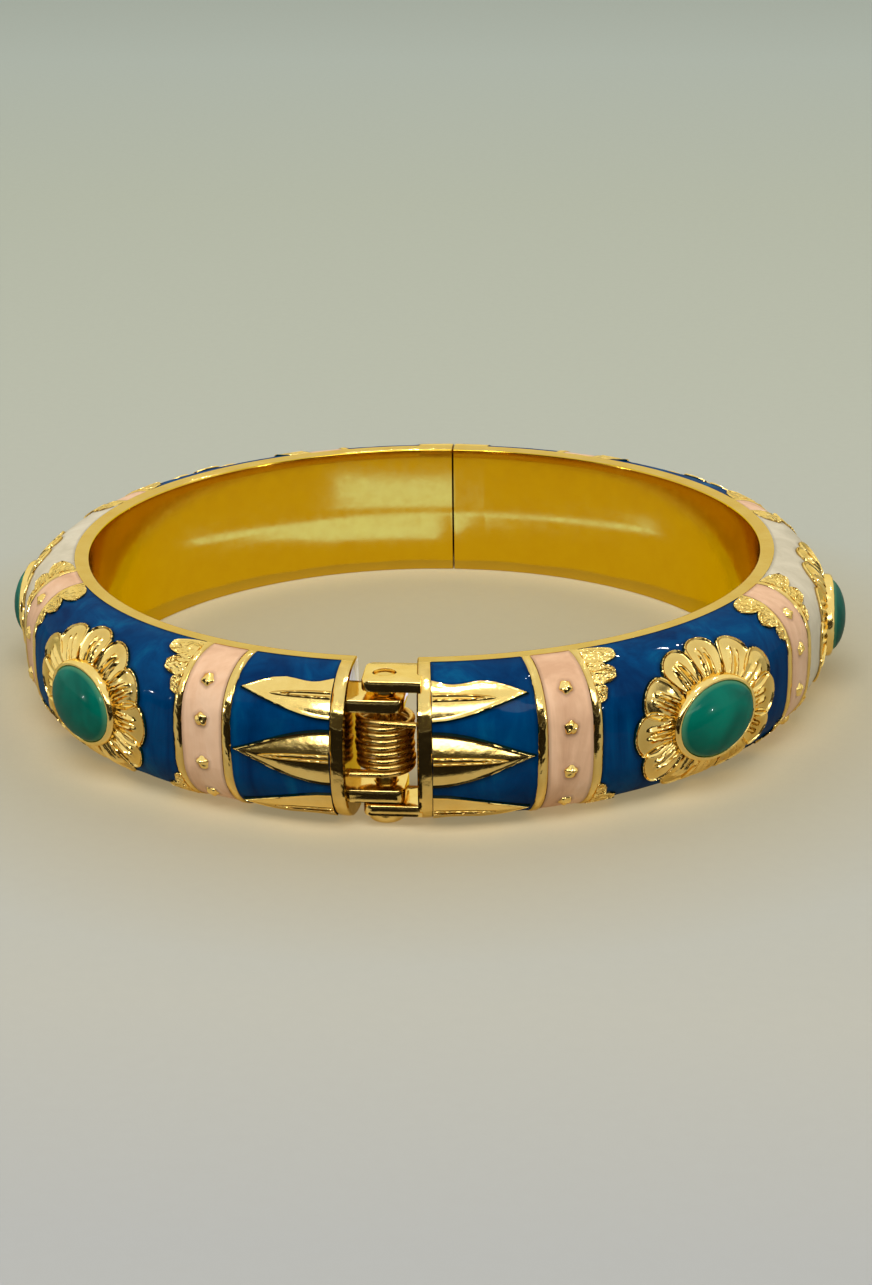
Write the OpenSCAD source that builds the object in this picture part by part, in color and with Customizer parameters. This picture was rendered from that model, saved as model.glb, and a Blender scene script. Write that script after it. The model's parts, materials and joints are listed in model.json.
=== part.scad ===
/* [Band] */
// Clear width inside the closed bangle
inner_d = 58; // [55:1:66]
// Height of the band, from its lower rim to its upper rim
band_h = 12.5; // [11.8:0.1:14]
// Thickness of the band, from its inner wall to its crest
band_t = 6; // [5.7:0.1:7.2]
// Radius of the band's rounded shoulders
shoulder_r = 4.7; // [4.4:0.1:5.2]
// Radius of the gentle crown between the shoulders
crown_r = 20; // [17:1:30]
// Gap between the two halves at the hinge, across the crest
hinge_gap = 5.5; // [5.4:0.1:6.5]
// Gap left between the two halves at the back seam
seam_gap = 0.1; // [0.06:0.02:0.3]

/* [Fields along the band] */
// Length of the plain collar beside the hinge
collar_w = 1.2; // [0.8:0.1:2]
// Length of a field of leaves
leaf_field_w = 8; // [7:0.1:9]
// Width of a gold line between two fields
line_w = 0.9; // [0.6:0.05:1.1]
// Length of a pink field
pink_w = 3.6; // [3.2:0.1:4.2]
// Length of a blue field with a flower
blue_w = 21; // [19:0.2:22]

/* [Enamel] */
// Depth of the beds that hold the enamel
bed_depth = 0.45; // [0.3:0.05:0.6]
// How far the enamel lies below the gold lines
enamel_drop = 0.08; // [0.04:0.01:0.15]
// Width of the gold lip between a bed and the shoulder's upper edge
rim_lip = 0.15; // [0.1:0.05:0.3]
// Play around each piece of enamel and each stone
seat_play = 0.04; // [0.02:0.01:0.08]

/* [Relief] */
// How far leaves and flowers rise above the gold lines
relief_h = 0.15; // [0.1:0.05:0.3]
// Distance between two leaves, across the band
leaf_step = 4.85; // [4.75:0.05:5.2]
// Width of a leaf at its root
leaf_root_w = 4.5; // [4:0.1:4.8]
// Width of a leaf's midrib at its root
rib_w = 0.55; // [0.4:0.05:0.8]
// Length of a leaf's midrib
rib_l = 5.4; // [4:0.1:6.5]
// How far a midrib rises above its leaf
rib_h = 0.15; // [0.1:0.05:0.25]
// Radius of a gold dot in a pink field
dot_r = 0.45; // [0.35:0.05:0.6]
// Distance of the inner dots from the crest
inner_dot_s = 1.8; // [1.6:0.1:2.2]
// Distance of the outer dots from the crest
outer_dot_s = 5; // [4.6:0.1:5.6]
// Petals in a flower
petals = 12; // [10:1:14]
// Half length of the ring that the petals' centres lie on
petal_ring_a = 5.9; // [5.6:0.1:6.1]
// Half height of the ring that the petals' centres lie on
petal_ring_b = 4.05; // [3.8:0.05:4.15]
// Radius of the petals at the two ends of a flower
petal_end_r = 1.95; // [1.7:0.05:2.1]
// Radius of the petals at the top and bottom of a flower
petal_top_r = 1.6; // [1.4:0.05:1.7]
// Width of the grooves in a petal
groove_w = 0.3; // [0.2:0.05:0.4]
// Depth of the grooves in a petal
groove_d = 0.15; // [0.1:0.05:0.2]

/* [Stones] */
// Length of a stone, along the band
stone_l = 8; // [7:0.1:8.6]
// Height of a stone, across the band
stone_w = 6; // [5:0.1:6.4]
// How far a stone's dome rises above the band's crest
stone_h = 1.7; // [1.2:0.1:2.2]
// Depth of a stone's seat below the band's crest
seat_d = 0.9; // [0.7:0.1:1.2]
// Thickness of the bezel around a stone
bezel_t = 0.45; // [0.3:0.05:0.6]
// How far the bezel rises above the band's crest
bezel_h = 0.5; // [0.4:0.05:0.8]

/* [Hinge] */
// Distance of the hinge pin from the band's inner wall
pin_in = 2.4; // [2.2:0.1:3]
// Diameter of the hinge pin
pin_d = 1.7; // [1.4:0.05:1.8]
// Play of the pin in its lugs, on the radius
pin_play = 0.04; // [0.02:0.01:0.08]
// Half width of the lugs, from the pin's middle to their front and back
lug_half_w = 2.1; // [1.8:0.05:2.2]
// Distance of a lug's blunt end from the pin's middle
lug_nose = 1.6; // [1.4:0.05:1.8]
// Radius of the corners at a lug's end
lug_corner_r = 0.7; // [0.4:0.1:1]
// Thickness of the outer lugs, on the right half
outer_lug_t = 0.95; // [0.7:0.05:1.1]
// Thickness of the inner lugs, on the left half
inner_lug_t = 1.1; // [0.9:0.05:1.3]
// Gap between the two upper lugs
upper_lug_gap = 0.6; // [0.2:0.05:0.7]
// Gap between the two lower lugs
lower_lug_gap = 0.15; // [0.1:0.05:0.3]
// How far the upper outer lug lies below the upper rim
lug_drop = 0.4; // [0.2:0.05:0.6]
// Diameter of the pin's head
head_d = 2.8; // [2.4:0.1:3.2]
// Height of the pin's head
head_h = 0.9; // [0.7:0.05:1]
// Diameter of the spring's wire
wire_d = 0.5; // [0.4:0.05:0.5]
// Outer diameter of the spring
spring_d = 4.6; // [4.2:0.1:4.7]
// Length of bare pin below the spring's coil
coil_low_gap = 1.05; // [0.2:0.05:1.2]
// Length of bare pin above the spring's coil
coil_high_gap = 0.5; // [0.2:0.05:0.8]
// Least gap between two turns of the spring
turn_gap = 0.015; // [0.01:0.005:0.1]

/* [Hidden] */
$fn = 96;

// How deep relief is rooted in the cast metal, how far a cut runs clear of it, and
// how far a raised outline reaches to both sides of the surface
root = 0.3;
clear = 1;
prism_reach = 2;

// Shares that shape a flower: how far its middle fills the top petals, and how far
// a groove lies from its petal's middle line
middle_fill = 0.62;
groove_share = 0.22;

// How much wider than a stone the ball is that its dome is cut from
dome_spread = 1.04;

inner_r = inner_d / 2;
crest_x = inner_r + band_t;
half_h = band_h / 2;

// Section: a flat rim, a shoulder arc and a crown arc that meet smoothly
shoulder_z = half_h - shoulder_r;
crown_x = crest_x - crown_r;
rim_w = sqrt(pow(crown_r - shoulder_r, 2) - pow(shoulder_z, 2)) + crown_x - inner_r;
join_angle = asin(shoulder_z / (crown_r - shoulder_r));
crown_s = crown_r * join_angle * PI / 180;
section_s = crown_s + shoulder_r * (90 - join_angle) * PI / 180;
bed_x = inner_r + rim_w + rim_lip;

// Angles along the band, counted from the hinge
function arc(w) = w / crest_x * 180 / PI;
end_a = asin(hinge_gap / 2 / crest_x);
leaf_a0 = end_a + arc(collar_w);
leaf_a1 = leaf_a0 + arc(leaf_field_w);
pink_a0 = leaf_a1 + arc(line_w);
pink_a1 = pink_a0 + arc(pink_w);
blue_a0 = pink_a1 + arc(line_w);
blue_a1 = blue_a0 + arc(blue_w);
far_pink_a0 = blue_a1 + arc(line_w);
far_pink_a1 = far_pink_a0 + arc(pink_w);
white_a0 = far_pink_a1 + arc(line_w);
seam_a = 180 - arc(seam_gap / 2);
pink_a = (pink_a0 + pink_a1) / 2;
far_pink_a = (far_pink_a0 + far_pink_a1) / 2;
flower_a = (blue_a0 + blue_a1) / 2;
side_a = 90;
flowers = [flower_a, side_a, 180 - flower_a];

// Heights of the hinge's parts, counted from the middle of the band
upper_outer_z = half_h - lug_drop - outer_lug_t;
upper_inner_z = upper_outer_z - upper_lug_gap - inner_lug_t;
head_z = pin_play - half_h;
lower_outer_z = head_z + head_h + pin_play;
lower_inner_z = lower_outer_z + outer_lug_t + lower_lug_gap;
pin_y = -inner_r - pin_in;
lug_reach = (lug_half_w - pin_y) * tan(end_a) + root;

// Spring: its coil's middle line, its first and last height, and its legs
coil_r = (spring_d - wire_d) / 2;
coil_z0 = lower_inner_z + inner_lug_t + coil_low_gap + wire_d / 2;
coil_z1 = upper_inner_z - coil_high_gap - wire_d / 2;
spring_turns = floor((coil_z1 - coil_z0) / (wire_d + turn_gap));
coil_steps = 20;
wire_sides = 6;
leg_x = (coil_r - wire_d / 2 - pin_y) * tan(end_a) - pin_play;

// Corner lobes, one a row: distance from the crest as a share of the section's
// arc, length as a share of the gold line, half width as a share of the leaves' step
LOBES = [
  [0.85, 3.1, 0.26],
  [0.64, 2.2, 0.21],
  [0.47, 0.7, 0.18]
];
function lobe_s(row) = row[0] * section_s;
function lobe_l(row) = row[1] * line_w;
function lobe_half_w(row) = row[2] * leaf_step;

// Half section of the band, grown outwards by an offset
module section(grow) {
  reach = 2 * crown_r;
  intersection() {
    translate([inner_r, -half_h - clear]) square([band_t + clear, band_h + 2 * clear]);
    union() {
      translate([inner_r, -half_h]) square([rim_w, band_h]);
      for (side = [-1, 1])
        translate([inner_r + rim_w, side * shoulder_z]) circle(shoulder_r + grow);
      translate([crown_x, 0])
        intersection() {
          circle(crown_r + grow, $fn = 360);
          polygon([
            [0, 0],
            reach * [cos(join_angle), sin(join_angle)],
            reach * [cos(join_angle), -sin(join_angle)]
          ]);
        }
    }
  }
}

// Part of the band's skin, between two offsets from its surface
module skin(low, high, from_a, to_a, inset = 0, top = half_h + clear) {
  rotate_extrude(start = from_a - 90 + arc(inset), angle = to_a - from_a - 2 * arc(inset))
    difference() {
      intersection() {
        section(high);
        translate([bed_x + inset, -top]) square([band_t + clear, 2 * top]);
      }
      section(low);
    }
}

// Skin that relief stands in, kept below the rims that the bangle rests on
module relief_skin(low, high, from_a, to_a) {
  skin(low, high, from_a, to_a, top = half_h - seat_play);
}

// Places what follows on the band's surface, s along the section from the crest
module on_band(angle, s) {
  side = s < 0 ? -1 : 1;
  on_crown = abs(s) <= crown_s;
  past_crown = (abs(s) - crown_s) / shoulder_r * 180 / PI;
  tilt = on_crown ? s / crown_r * 180 / PI : side * (join_angle + past_crown);
  rotate([0, 0, angle - 90])
    translate(on_crown ? [crown_x, 0, 0] : [inner_r + rim_w, 0, side * shoulder_z])
      rotate([0, -tilt, 0])
        translate([on_crown ? crown_r : shoulder_r, 0, 0])
          children();
}

// Raises a flat outline square to the band's surface
module raise(from = -prism_reach, to = prism_reach) {
  translate([from, 0, 0]) rotate([90, 0, 90]) linear_extrude(to - from) children();
}

// A pointed outline: straight root, two bowed sides and a tip
module pointed(length, width, grow = 0) {
  half = width / 2;
  bow = (length * length + half * half) / width;
  intersection() {
    translate([0, half - bow]) circle(bow + grow);
    translate([0, bow - half]) circle(bow + grow);
    translate([-root, -width]) square([length + root + 2 * grow, 2 * width]);
  }
}

// Three outlines side by side in a field of leaves, raised from the field's middle
module in_leaf_field(root_a, turn) {
  middle_a = root_a + cos(turn) * arc(leaf_field_w / 2);
  for (k = [-1:1])
    on_band(middle_a, k * leaf_step) raise() rotate(turn)
      translate([-leaf_field_w / 2, 0]) children();
}

// Leaves whose tips end a third of the way into the gold line
module leaves(root_a, turn, grow = 0) {
  in_leaf_field(root_a, turn) pointed(leaf_field_w + line_w / 3, leaf_root_w, grow);
}

module ribs(root_a, turn) {
  in_leaf_field(root_a, turn) pointed(rib_l, rib_w);
}

// Blunt lobes that merge into one another at the corners of a flower's field
module lobes(line_a, turn, grow = 0) {
  for (row = LOBES, side = [-1, 1])
    on_band(line_a, side * lobe_s(row)) raise() rotate(turn)
      intersection() {
        scale([lobe_l(row) + grow, lobe_half_w(row) + grow]) circle(1);
        translate([-root, -leaf_step]) square(2 * leaf_step);
      }
}

// Rounded petals round a lens-shaped middle
module flower_outline(grow = 0) {
  middle_r = petal_ring_a + petal_end_r / 3;
  middle_b = petal_ring_b + petal_top_r * middle_fill;
  intersection_for (side = [-1, 1])
    translate([0, side * (middle_r - middle_b)]) circle(middle_r + grow);
  for (k = [0:petals - 1]) {
    turn = k * 360 / petals;
    translate([petal_ring_a * cos(turn), petal_ring_b * sin(turn)])
      circle(petal_end_r + (petal_top_r - petal_end_r) * abs(sin(turn)) + grow);
  }
}

// Two tapering grooves in each petal
module grooves_outline() {
  for (k = [0:petals - 1], share = [-groove_share, groove_share]) {
    turn = (k + share) * 360 / petals;
    inner = [(stone_l / 2 + bezel_t) * cos(turn), (stone_w / 2 + bezel_t) * sin(turn)];
    outer = [petal_ring_a * cos(turn), petal_ring_b * sin(turn)];
    run = outer - inner;
    across = [-run[1], run[0]] * groove_w / 2 / norm(run);
    polygon([inner + across, outer + across / 3, outer - across / 3, inner - across]);
  }
}

module oval(grow) {
  scale([stone_l / 2 + grow, stone_w / 2 + grow]) circle(1);
}

// One flower with its bezel, rooted in the cast metal
module flower(angle) {
  reach = arc(petal_ring_a + petal_end_r + root);
  intersection() {
    relief_skin(-bed_depth - root, relief_h, angle - reach, angle + reach);
    difference() {
      on_band(angle, 0) raise(-band_t) flower_outline();
      intersection() {
        skin(relief_h - groove_d, relief_h + clear, angle - reach, angle + reach);
        on_band(angle, 0) raise(-band_t) grooves_outline();
      }
    }
  }
  on_band(angle, 0) raise(-2 * seat_d, bezel_h) oval(bezel_t);
}

dot_places = [-outer_dot_s, -inner_dot_s, inner_dot_s, outer_dot_s];

module dots(angle) {
  for (s = dot_places)
    on_band(angle, s) translate([relief_h - dot_r, 0, 0]) sphere(dot_r, $fn = 32);
}

module dot_holes(angle) {
  for (s = dot_places) on_band(angle, s) raise() circle(dot_r + seat_play);
}

// Leaves and midribs of one field, rooted in the collar beside it
module leaf_relief(root_a, tip_a, turn) {
  from_a = min(root_a, tip_a) - arc(root);
  to_a = max(root_a, tip_a) + arc(root);
  intersection() {
    relief_skin(-bed_depth - root, relief_h, from_a, to_a);
    leaves(root_a, turn);
  }
  intersection() {
    relief_skin(0, relief_h + rib_h, from_a, to_a);
    ribs(root_a, turn);
  }
}

module lobe_relief(line_a, turn) {
  reach = arc(lobe_l(LOBES[0]) + root);
  intersection() {
    relief_skin(-bed_depth - root, relief_h / 2, line_a - reach, line_a + reach);
    lobes(line_a, turn);
  }
}

// The cast metal of the half on the right, with its beds and relief
module cast_half() {
  fields = [
    [leaf_a0, leaf_a1], [pink_a0, pink_a1], [blue_a0, blue_a1], [far_pink_a0, far_pink_a1]
  ];
  difference() {
    union() {
      difference() {
        rotate_extrude(start = end_a - 90, angle = seam_a - end_a) section(0);
        for (field = fields) {
          skin(-bed_depth, clear, field[0], field[1]);
          skin(-bed_depth, clear, 180 - field[1], 180 - field[0]);
        }
        skin(-bed_depth, clear, white_a0, 180 - white_a0);
      }
      for (angle = flowers) flower(angle);
      leaf_relief(leaf_a0, leaf_a1, 0);
      leaf_relief(180 - leaf_a0, 180 - leaf_a1, 180);
      for (line_a = [blue_a0, white_a0, 180 - blue_a1]) lobe_relief(line_a, 0);
      for (line_a = [blue_a1, 180 - white_a0, 180 - blue_a0]) lobe_relief(line_a, 180);
      for (angle = [pink_a, far_pink_a, 180 - far_pink_a, 180 - pink_a]) dots(angle);
    }
    for (angle = flowers) on_band(angle, 0) raise(-seat_d) oval(seat_play);
  }
}

// A hinge lug that reaches from the right half round the pin
module lug(z, thick) {
  corner_x = lug_corner_r - lug_nose;
  corner_y = lug_half_w - lug_corner_r;
  translate([0, pin_y, z]) linear_extrude(thick)
    difference() {
      union() {
        for (side = [-1, 1]) translate([corner_x, side * corner_y]) circle(lug_corner_r);
        translate([corner_x, -lug_half_w]) square([lug_reach - corner_x, 2 * lug_half_w]);
        translate([-lug_nose, -corner_y]) square([lug_nose, 2 * corner_y]);
      }
      circle(pin_d / 2 + pin_play);
    }
}

// Enamel that fills a bed, less what stands in it
module enamel(from_a, to_a) {
  difference() {
    skin(seat_play - bed_depth, -enamel_drop, from_a, to_a, inset = seat_play);
    children();
  }
}

module leaf_enamel(root_a, tip_a, turn) {
  color([0.03, 0.24, 0.5]) placed()
    enamel(min(root_a, tip_a), max(root_a, tip_a)) leaves(root_a, turn, seat_play);
}

module pink_enamel(angle) {
  half_a = arc(pink_w / 2);
  color([0.88, 0.68, 0.58]) placed()
    enamel(angle - half_a, angle + half_a) dot_holes(angle);
}

module flower_enamel(from_a, to_a, tint) {
  color(tint) placed()
    enamel(from_a, to_a) {
      on_band((from_a + to_a) / 2, 0) raise(-band_t) flower_outline(seat_play);
      lobes(from_a, 0, seat_play);
      lobes(to_a, 180, seat_play);
    }
}

module blue_enamel(angle) {
  flower_enamel(angle - arc(blue_w / 2), angle + arc(blue_w / 2), [0.03, 0.24, 0.5]);
}

module white_enamel() {
  flower_enamel(white_a0, 180 - white_a0, [0.87, 0.84, 0.78]);
}

// A cabochon: straight girdle in the seat, oval dome above it
module stone(angle) {
  color([0, 0.45, 0.36]) placed() on_band(angle, 0)
    intersection() {
      raise(seat_play - seat_d, stone_h + clear) oval(0);
      scale([stone_h, stone_l / 2 * dome_spread, stone_w / 2 * dome_spread]) sphere(1);
    }
}

// Stands the bangle on its lower rim
module placed() {
  translate([0, 0, half_h]) children();
}

module on_left() {
  mirror([1, 0, 0]) children();
}

module right_half() {
  color("gold") placed() {
    cast_half();
    lug(upper_outer_z, outer_lug_t);
    lug(lower_outer_z, outer_lug_t);
  }
}

module left_half() {
  color("gold") placed() on_left() {
    cast_half();
    lug(upper_inner_z, inner_lug_t);
    lug(lower_inner_z, inner_lug_t);
  }
}

// A pin with a domed head below, its tip just proud of the upper lug
module hinge_pin() {
  dome_h = head_h / 4;
  dome_r = (head_d * head_d / 4 + dome_h * dome_h) / (2 * dome_h);
  shank_z = head_z + head_h / 2;
  color("goldenrod") placed() translate([0, pin_y, 0]) {
    translate([0, 0, shank_z])
      cylinder(d = pin_d, h = upper_outer_z + outer_lug_t + pin_play * 2 - shank_z);
    translate([0, 0, head_z])
      intersection() {
        cylinder(d = head_d, h = head_h);
        translate([0, 0, dome_r]) sphere(dome_r);
      }
  }
}

// A round wire swept along a coil, with a straight leg against each half
function coil_point(k) =
  let (turn = k * 360 / coil_steps - 90, share = k / (coil_steps * spring_turns))
  [coil_r * cos(turn), coil_r * sin(turn), coil_z0 + share * (coil_z1 - coil_z0)];
function coil_out(k) =
  let (turn = k * 360 / coil_steps - 90) [cos(turn), sin(turn), 0];
module hinge_spring() {
  last = coil_steps * spring_turns;
  middles = concat(
    [[-leg_x, -coil_r, coil_z0]],
    [for (k = [0:last]) coil_point(k)],
    [[leg_x, -coil_r, coil_z1]]
  );
  outs = concat([[0, -1, 0]], [for (k = [0:last]) coil_out(k)], [[0, -1, 0]]);
  rings = len(middles);
  points = [
    for (k = [0:rings - 1], j = [0:wire_sides - 1])
      let (turn = j * 360 / wire_sides)
      middles[k] + wire_d / 2 * (cos(turn) * outs[k] + [0, 0, sin(turn)])
  ];
  sides = [
    for (k = [0:rings - 2], j = [0:wire_sides - 1])
      let (a = k * wire_sides, b = a + wire_sides, next = (j + 1) % wire_sides)
      [a + j, b + j, b + next, a + next]
  ];
  first_cap = [for (j = [0:wire_sides - 1]) j];
  last_cap = [for (j = [wire_sides - 1:-1:0]) (rings - 1) * wire_sides + j];
  color("goldenrod") placed() translate([0, pin_y, 0])
    polyhedron(points, concat(sides, [first_cap, last_cap]), convexity = 4);
}

module left_front_stone() { on_left() stone(flower_a); }
module left_side_stone() { on_left() stone(side_a); }
module left_back_stone() { on_left() stone(180 - flower_a); }
module right_front_stone() { stone(flower_a); }
module right_side_stone() { stone(side_a); }
module right_back_stone() { stone(180 - flower_a); }

module right_front_leaf_enamel() { leaf_enamel(leaf_a0, leaf_a1, 0); }
module right_back_leaf_enamel() { leaf_enamel(180 - leaf_a0, 180 - leaf_a1, 180); }
module left_front_leaf_enamel() { on_left() right_front_leaf_enamel(); }
module left_back_leaf_enamel() { on_left() right_back_leaf_enamel(); }

module right_pink_enamel_1() { pink_enamel(pink_a); }
module right_pink_enamel_2() { pink_enamel(far_pink_a); }
module right_pink_enamel_3() { pink_enamel(180 - far_pink_a); }
module right_pink_enamel_4() { pink_enamel(180 - pink_a); }
module left_pink_enamel_1() { on_left() right_pink_enamel_1(); }
module left_pink_enamel_2() { on_left() right_pink_enamel_2(); }
module left_pink_enamel_3() { on_left() right_pink_enamel_3(); }
module left_pink_enamel_4() { on_left() right_pink_enamel_4(); }

module right_front_blue_enamel() { blue_enamel(flower_a); }
module right_back_blue_enamel() { blue_enamel(180 - flower_a); }
module left_front_blue_enamel() { on_left() right_front_blue_enamel(); }
module left_back_blue_enamel() { on_left() right_back_blue_enamel(); }
module right_white_enamel() { white_enamel(); }
module left_white_enamel() { on_left() white_enamel(); }

left_half();
right_half();
hinge_pin();
hinge_spring();
left_front_stone();
left_side_stone();
left_back_stone();
right_front_stone();
right_side_stone();
right_back_stone();
left_front_leaf_enamel();
left_back_leaf_enamel();
right_front_leaf_enamel();
right_back_leaf_enamel();
left_pink_enamel_1();
left_pink_enamel_2();
left_pink_enamel_3();
left_pink_enamel_4();
right_pink_enamel_1();
right_pink_enamel_2();
right_pink_enamel_3();
right_pink_enamel_4();
left_front_blue_enamel();
left_back_blue_enamel();
right_front_blue_enamel();
right_back_blue_enamel();
left_white_enamel();
right_white_enamel();
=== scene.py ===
import json
import math

import bmesh
import bpy
import numpy as np
from mathutils import Matrix, Vector


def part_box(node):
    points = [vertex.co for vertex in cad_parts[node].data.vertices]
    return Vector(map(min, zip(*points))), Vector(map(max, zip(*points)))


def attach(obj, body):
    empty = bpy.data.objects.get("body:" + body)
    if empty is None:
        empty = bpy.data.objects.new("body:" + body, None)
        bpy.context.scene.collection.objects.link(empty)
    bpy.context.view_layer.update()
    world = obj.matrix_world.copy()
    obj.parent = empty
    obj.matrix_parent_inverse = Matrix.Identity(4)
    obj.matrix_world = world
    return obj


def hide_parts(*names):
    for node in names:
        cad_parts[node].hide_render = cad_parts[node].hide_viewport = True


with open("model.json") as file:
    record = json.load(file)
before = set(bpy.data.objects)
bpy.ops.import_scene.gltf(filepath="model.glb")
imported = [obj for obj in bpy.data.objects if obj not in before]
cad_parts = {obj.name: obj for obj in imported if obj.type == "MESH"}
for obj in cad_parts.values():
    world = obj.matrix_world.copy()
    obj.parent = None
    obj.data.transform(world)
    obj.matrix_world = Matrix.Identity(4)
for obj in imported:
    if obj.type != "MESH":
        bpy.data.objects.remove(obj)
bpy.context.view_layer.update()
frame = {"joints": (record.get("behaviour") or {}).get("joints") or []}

# Lengths below are in millimetres and angles in degrees unless a name says otherwise.
# A mesh is scaled to metres when it is made.
MM = 0.001

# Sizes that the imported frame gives
hinge = frame["joints"][0]
pin_y = hinge["pos_m"][1] / MM
half_low, half_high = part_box("right_half")
half_h = (half_high.z - half_low.z) / MM / 2
bezel_h = 0.5
crest_x = half_high.x / MM - bezel_h
pin_in = 2.4
inner_r = -pin_y - pin_in

# Section of the band: a flat rim, a shoulder arc and a crown arc
shoulder_r = 4.7
crown_r = 20.0
shoulder_z = half_h - shoulder_r
crown_x = crest_x - crown_r
rim_w = math.sqrt((crown_r - shoulder_r) ** 2 - shoulder_z ** 2) + crown_x - inner_r
join = math.asin(shoulder_z / (crown_r - shoulder_r))
crown_s = crown_r * join
section_s = crown_s + shoulder_r * (math.pi / 2 - join)
rim_lip = 0.15
bed_s = section_s - shoulder_r * math.asin(rim_lip / shoulder_r)


def arc(length):
    """Angle that a length along the crest takes."""
    return math.degrees(length / crest_x)


# Fields along one half, as angles from the hinge
hinge_gap = 5.5
seam_gap = 0.1
collar_w = 1.2
leaf_field_w = 8.0
line_w = 0.9
pink_w = 3.6
blue_w = 21.0
end_a = math.degrees(math.asin(hinge_gap / 2 / crest_x))
seam_a = 180 - arc(seam_gap / 2)
leaf_a0 = end_a + arc(collar_w)
front_fields = []
from_a = leaf_a0
for kind, width in (("leaf", leaf_field_w), ("pink", pink_w), ("blue", blue_w), ("pink", pink_w)):
    to_a = from_a + arc(width)
    front_fields.append((kind, from_a, to_a))
    from_a = to_a + arc(line_w)
white_a0 = from_a
front_flower_a = sum(front_fields[2][1:]) / 2
fields = (
    front_fields + [("white", white_a0, 180 - white_a0)]
    + [(kind, 180 - to_a, 180 - from_a) for kind, from_a, to_a in reversed(front_fields)]
)

# Heights above the band's surface
bed_depth = 0.45
enamel_h = -0.08
root_h = -0.75
line_h = 0.06
collar_h = 0.05
eased_h = 0.02
leaf_h = 0.2
lobe_h = 0.06
petal_h = 0.06
disc_h = 0.02

# Stones and their seats
stone_a = 4.0
stone_b = 3.0
stone_h = 1.7
seat_d = 0.9
seat_play = 0.04
dome_spread = 1.04

# A point's attributes where nothing near it needs them: no edge near, and low relief
no_edge = 9.0
low_relief = 0.1
thin = 0.03


def section_at(s, h):
    """Radius and height of points at s along the section from the crest, h above the surface."""
    s, h = np.broadcast_arrays(np.asarray(s, float), np.asarray(h, float))
    far = np.minimum(np.abs(s), section_s)
    on_crown = far <= crown_s
    tilt = np.where(on_crown, far / crown_r, join + (far - crown_s) / shoulder_r)
    centre_x = np.where(on_crown, crown_x, inner_r + rim_w)
    centre_z = np.where(on_crown, 0, shoulder_z)
    reach = np.where(on_crown, crown_r, shoulder_r) + h
    x = centre_x + reach * np.cos(tilt) - (np.abs(s) - far)
    z = centre_z + reach * np.sin(tilt)
    return x, np.sign(s) * np.minimum(z, half_h)


def swept(side, angle, x, z):
    """Points at radius x and height z over the middle, turned to their angles from the hinge."""
    turn = np.radians(angle)
    return np.stack([side * x * np.sin(turn), -x * np.cos(turn), z + half_h + 0 * turn], -1)


def on_band(side, angle, s, h):
    """Points on the band of one half; side is 1 on the right and -1 on the left."""
    return swept(side, angle, *section_at(s, h))


def on_plane(side, angle, u, v, n):
    """Points near a flower, on the plane that touches the crest: u along, v up, n out."""
    turn = math.radians(angle)
    out = np.array([side * math.sin(turn), -math.cos(turn), 0])
    along = np.array([side * math.cos(turn), math.sin(turn), 0])
    u, v, n = np.broadcast_arrays(*[np.asarray(part, float) for part in (u, v, n)])
    base = (crest_x + n)[..., None] * out + u[..., None] * along
    return base + np.stack([0 * v, 0 * v, v + half_h], -1)


def along_band(angle, u):
    """Angles of points u along the crest from an angle."""
    return angle + np.degrees(u / crest_x)


def full_turn(count):
    """A row of angles in radians, evenly spaced round a full turn."""
    return np.linspace(0, 2 * math.pi, count, endpoint=False)[None, :]


def bell(x, middle, width):
    """A smooth hump of height 1 round a middle."""
    return np.exp(-((x - middle) / width) ** 2)


def wander(x, seed, step):
    """A smooth random line through x, from -1 to 1, that changes over each step."""
    count = 4096
    values = np.random.default_rng(seed).uniform(-1, 1, count)
    cells = np.asarray(x, float) / step
    low = np.floor(cells).astype(int)
    t = cells - low
    t = t * t * (3 - 2 * t)
    return values[low % count] * (1 - t) + values[(low + 1) % count] * t


# Edges of raised forms: the border's height, distance from the edge and width, then the
# rounding's width and depth
EDGES = {
    "leaf": (0.05, 0.14, 0.09, 0.14, 0.16),
    "lobe": (0.07, 0.2, 0.12, 0.16, 0.24),
    "petal": (0.13, 0.2, 0.12, 0.14, 0.3),
}


def edge_relief(kind, gap):
    """Height that a form's border adds, and its rounding takes, at a distance from its edge."""
    border_h, border_at, border_w, round_w, round_d = EDGES[kind]
    t = np.clip(1 - gap / round_w, 0, 1)
    steep = 0.96
    return border_h * bell(gap, border_at, border_w) - round_d * (1 - np.sqrt(1 - steep * t * t))


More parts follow.
